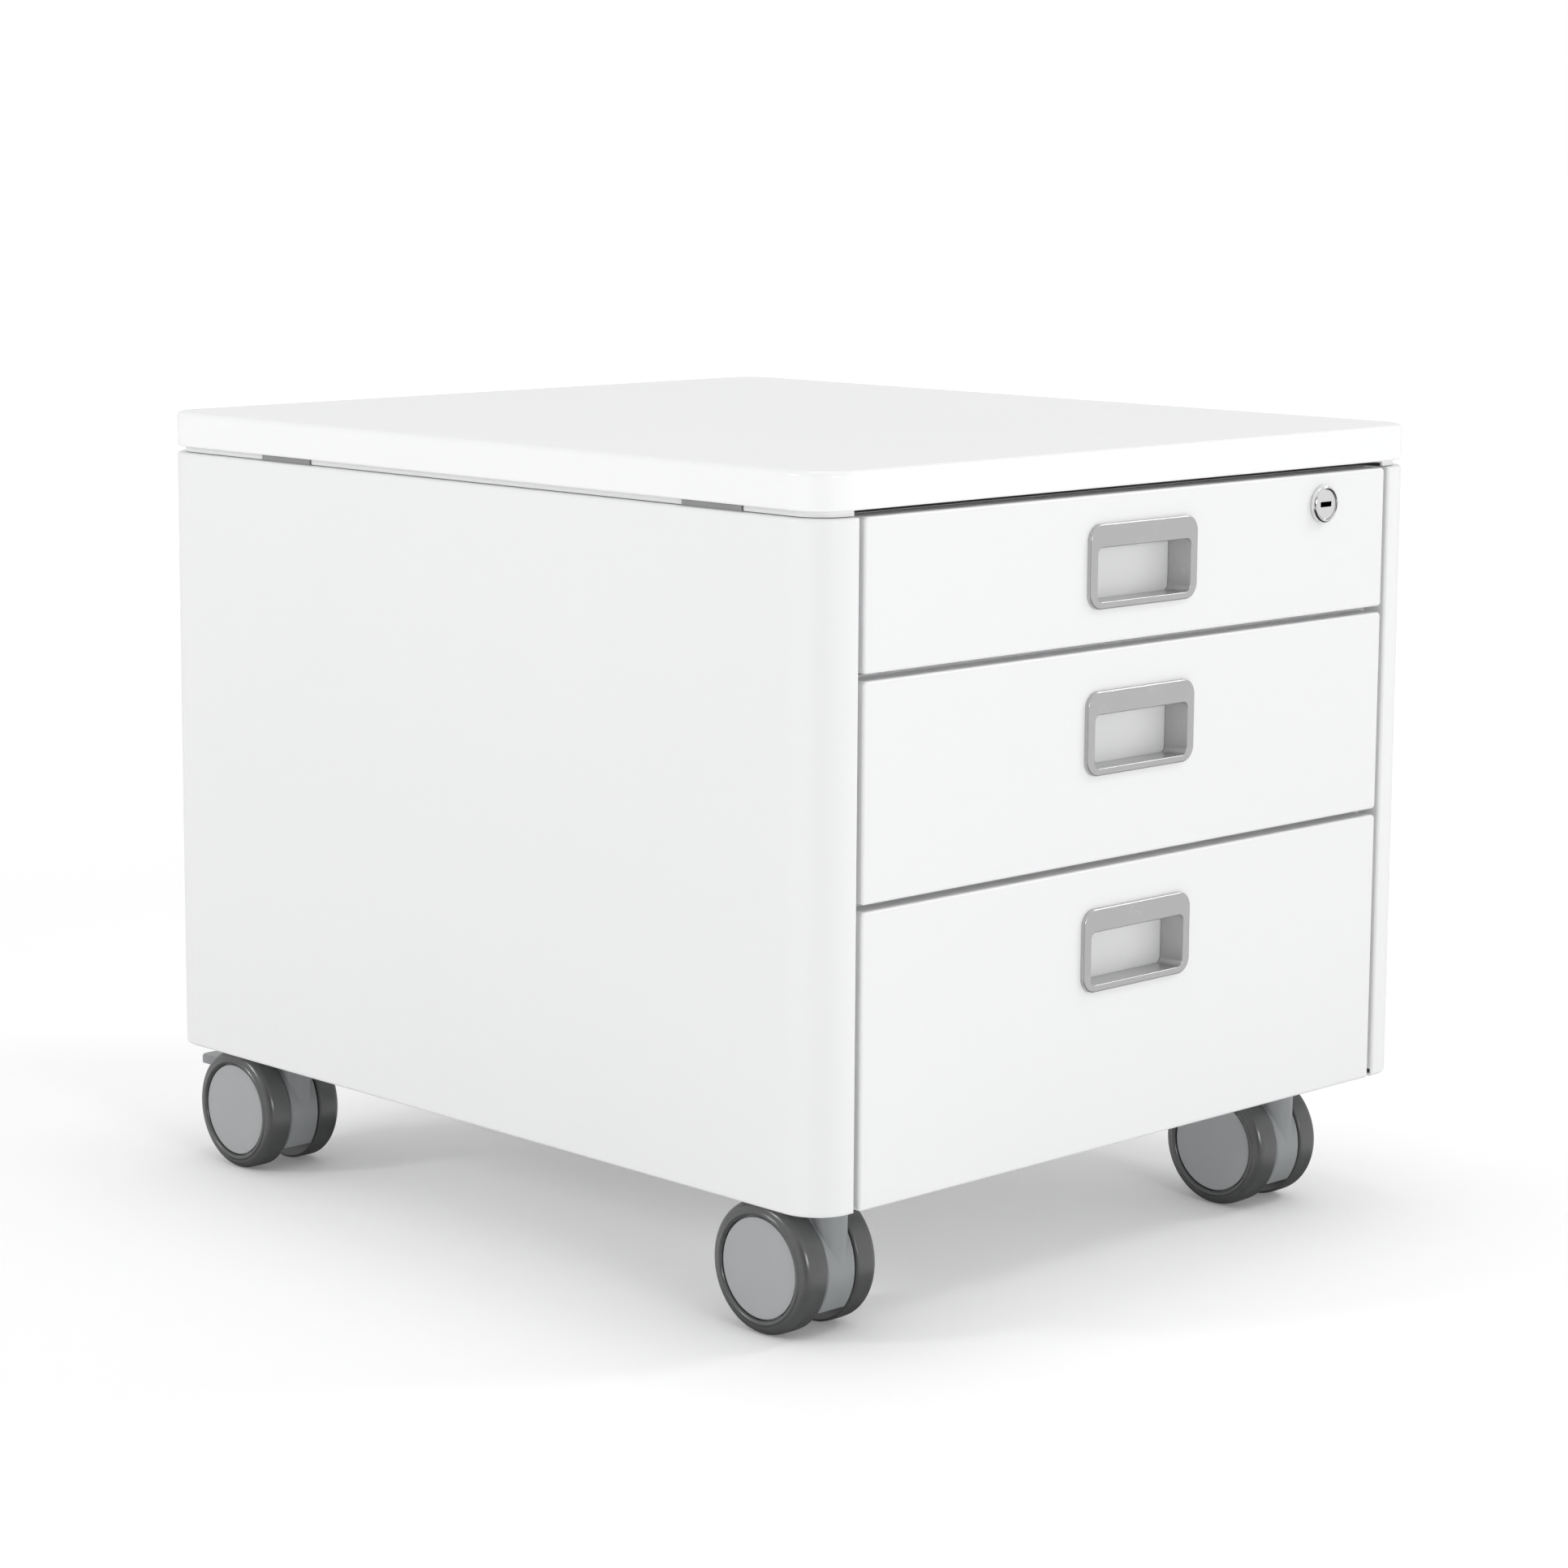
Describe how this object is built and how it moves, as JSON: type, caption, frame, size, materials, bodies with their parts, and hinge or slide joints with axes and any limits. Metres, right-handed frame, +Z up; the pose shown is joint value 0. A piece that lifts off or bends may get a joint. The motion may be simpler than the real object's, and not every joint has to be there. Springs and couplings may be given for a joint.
{
  "type": "mobile drawer pedestal",
  "caption": "Low white sheet-steel filing cabinet on swivel casters, with full-width drawers on telescopic slides, recessed grips and a cam lock.",
  "frame": {"origin": "on the floor under the middle of the cabinet's overall box", "axes": "+X to the right seen from the front, -Y towards the front where the drawers open, +Z up"},
  "size_m": [0.41, 0.4746, 0.382],
  "materials": {
    "white_paint": "satin",
    "core_board": "raw board",
    "pad_rubber": "matte",
    "zinc_steel": "zinc plated",
    "grey_plastic": "satin",
    "chrome_trim": "polished",
    "satin_nickel": "satin",
    "caster_grey": "satin",
    "hub_grey": "satin",
    "tyre_rubber": "satin"
  },
  "bodies": {
    "carcass": {"top_panel": "white_paint", "top_panel_core": "core_board", "top_spacer_pads": "pad_rubber", "left_side_panel": "white_paint", "right_side_panel": "white_paint", "back_panel": "white_paint", "base_pan": "white_paint", "subtop": "white_paint", "slide_uprights": "zinc_steel", "outer_slides": "zinc_steel", "back_screws": "zinc_steel", "caster_stems": "zinc_steel"},
    "top_drawer": {"top_drawer_front": "white_paint", "top_handle_bezel": "grey_plastic", "top_drawer_tray": "white_paint", "top_front_screws": "zinc_steel", "top_inner_slides": "zinc_steel", "lock_barrel": "chrome_trim", "lock_nut": "zinc_steel"},
    "top_slide_carriage": {"top_middle_slides": "zinc_steel"},
    "middle_drawer": {"middle_drawer_front": "white_paint", "middle_handle_bezel": "grey_plastic", "middle_drawer_tray": "white_paint", "middle_front_screws": "zinc_steel", "middle_inner_slides": "zinc_steel"},
    "middle_slide_carriage": {"middle_middle_slides": "zinc_steel"},
    "bottom_drawer": {"bottom_drawer_front": "white_paint", "bottom_handle_bezel": "grey_plastic", "bottom_drawer_tray": "white_paint", "bottom_front_screws": "zinc_steel", "bottom_inner_slides": "zinc_steel"},
    "bottom_slide_carriage": {"bottom_middle_slides": "zinc_steel"},
    "lock_cylinder": {"lock_plug": "satin_nickel", "lock_cam": "zinc_steel"},
    "front_left_caster": {"front_left_caster_housing": "caster_grey", "front_left_axle": "zinc_steel"},
    "front_left_outer_wheel": {"front_left_outer_tyre": "tyre_rubber", "front_left_outer_hub": "hub_grey"},
    "front_left_inner_wheel": {"front_left_inner_tyre": "tyre_rubber", "front_left_inner_hub": "hub_grey"},
    "front_right_caster": {"front_right_caster_housing": "caster_grey", "front_right_axle": "zinc_steel"},
    "front_right_outer_wheel": {"front_right_outer_tyre": "tyre_rubber", "front_right_outer_hub": "hub_grey"},
    "front_right_inner_wheel": {"front_right_inner_tyre": "tyre_rubber", "front_right_inner_hub": "hub_grey"},
    "rear_left_caster": {"rear_left_caster_housing": "caster_grey", "rear_left_axle": "zinc_steel"},
    "rear_left_outer_wheel": {"rear_left_outer_tyre": "tyre_rubber", "rear_left_outer_hub": "hub_grey"},
    "rear_left_inner_wheel": {"rear_left_inner_tyre": "tyre_rubber", "rear_left_inner_hub": "hub_grey"},
    "rear_left_brake": {"rear_left_brake_pedal": "caster_grey"},
    "rear_right_caster": {"rear_right_caster_housing": "caster_grey", "rear_right_axle": "zinc_steel"},
    "rear_right_outer_wheel": {"rear_right_outer_tyre": "tyre_rubber", "rear_right_outer_hub": "hub_grey"},
    "rear_right_inner_wheel": {"rear_right_inner_tyre": "tyre_rubber", "rear_right_inner_hub": "hub_grey"},
    "rear_right_brake": {"rear_right_brake_pedal": "caster_grey"}
  },
  "joints": [
    {"name": "top_drawer_slide", "type": "slide", "parent": "carcass", "child": "top_drawer", "axis": [0, -1, 0], "range_m": [0, 0.34]},
    {"name": "top_carriage_slide", "type": "slide", "parent": "carcass", "child": "top_slide_carriage", "axis": [0, -1, 0], "range_m": [0, 0.17]},
    {"name": "middle_drawer_slide", "type": "slide", "parent": "carcass", "child": "middle_drawer", "axis": [0, -1, 0], "range_m": [0, 0.34]},
    {"name": "middle_carriage_slide", "type": "slide", "parent": "carcass", "child": "middle_slide_carriage", "axis": [0, -1, 0], "range_m": [0, 0.17]},
    {"name": "bottom_drawer_slide", "type": "slide", "parent": "carcass", "child": "bottom_drawer", "axis": [0, -1, 0], "range_m": [0, 0.34]},
    {"name": "bottom_carriage_slide", "type": "slide", "parent": "carcass", "child": "bottom_slide_carriage", "axis": [0, -1, 0], "range_m": [0, 0.17]},
    {"name": "lock_turn", "type": "hinge", "parent": "top_drawer", "child": "lock_cylinder", "pos_m": [0.1305, -0.23, 0.3475], "axis": [0, 1, 0], "range_deg": [0, 90]},
    {"name": "front_left_swivel", "type": "hinge", "parent": "carcass", "child": "front_left_caster", "pos_m": [-0.1745, -0.2103, 0.05], "axis": [0, 0, 1], "continuous": true},
    {"name": "front_left_outer_wheel_spin", "type": "hinge", "parent": "front_left_caster", "child": "front_left_outer_wheel", "pos_m": [-0.1745, -0.189, 0.0302], "axis": [1, 0, 0], "continuous": true},
    {"name": "front_left_inner_wheel_spin", "type": "hinge", "parent": "front_left_caster", "child": "front_left_inner_wheel", "pos_m": [-0.1745, -0.189, 0.0302], "axis": [1, 0, 0], "continuous": true},
    {"name": "front_right_swivel", "type": "hinge", "parent": "carcass", "child": "front_right_caster", "pos_m": [0.1355, -0.2103, 0.05], "axis": [0, 0, 1], "continuous": true},
    {"name": "front_right_outer_wheel_spin", "type": "hinge", "parent": "front_right_caster", "child": "front_right_outer_wheel", "pos_m": [0.1355, -0.189, 0.0302], "axis": [1, 0, 0], "continuous": true},
    {"name": "front_right_inner_wheel_spin", "type": "hinge", "parent": "front_right_caster", "child": "front_right_inner_wheel", "pos_m": [0.1355, -0.189, 0.0302], "axis": [1, 0, 0], "continuous": true},
    {"name": "rear_left_swivel", "type": "hinge", "parent": "carcass", "child": "rear_left_caster", "pos_m": [-0.1745, 0.1703, 0.05], "axis": [0, 0, 1], "continuous": true},
    {"name": "rear_left_outer_wheel_spin", "type": "hinge", "parent": "rear_left_caster", "child": "rear_left_outer_wheel", "pos_m": [-0.1745, 0.1916, 0.0302], "axis": [1, 0, 0], "continuous": true},
    {"name": "rear_left_inner_wheel_spin", "type": "hinge", "parent": "rear_left_caster", "child": "rear_left_inner_wheel", "pos_m": [-0.1745, 0.1916, 0.0302], "axis": [1, 0, 0], "continuous": true},
    {"name": "rear_left_brake_press", "type": "hinge", "parent": "rear_left_caster", "child": "rear_left_brake", "pos_m": [-0.1745, 0.2096, 0.0432], "axis": [-1, 0, 0], "range_deg": [0, 10]},
    {"name": "rear_right_swivel", "type": "hinge", "parent": "carcass", "child": "rear_right_caster", "pos_m": [0.1355, 0.1703, 0.05], "axis": [0, 0, 1], "continuous": true},
    {"name": "rear_right_outer_wheel_spin", "type": "hinge", "parent": "rear_right_caster", "child": "rear_right_outer_wheel", "pos_m": [0.1355, 0.1916, 0.0302], "axis": [1, 0, 0], "continuous": true},
    {"name": "rear_right_inner_wheel_spin", "type": "hinge", "parent": "rear_right_caster", "child": "rear_right_inner_wheel", "pos_m": [0.1355, 0.1916, 0.0302], "axis": [1, 0, 0], "continuous": true},
    {"name": "rear_right_brake_press", "type": "hinge", "parent": "rear_right_caster", "child": "rear_right_brake", "pos_m": [0.1355, 0.2096, 0.0432], "axis": [-1, 0, 0], "range_deg": [0, 10]}
  ],
  "couplings": [
    {"joint": "top_carriage_slide", "follows": "top_drawer_slide", "ratio": 0.5},
    {"joint": "middle_carriage_slide", "follows": "middle_drawer_slide", "ratio": 0.5},
    {"joint": "bottom_carriage_slide", "follows": "bottom_drawer_slide", "ratio": 0.5}
  ]
}
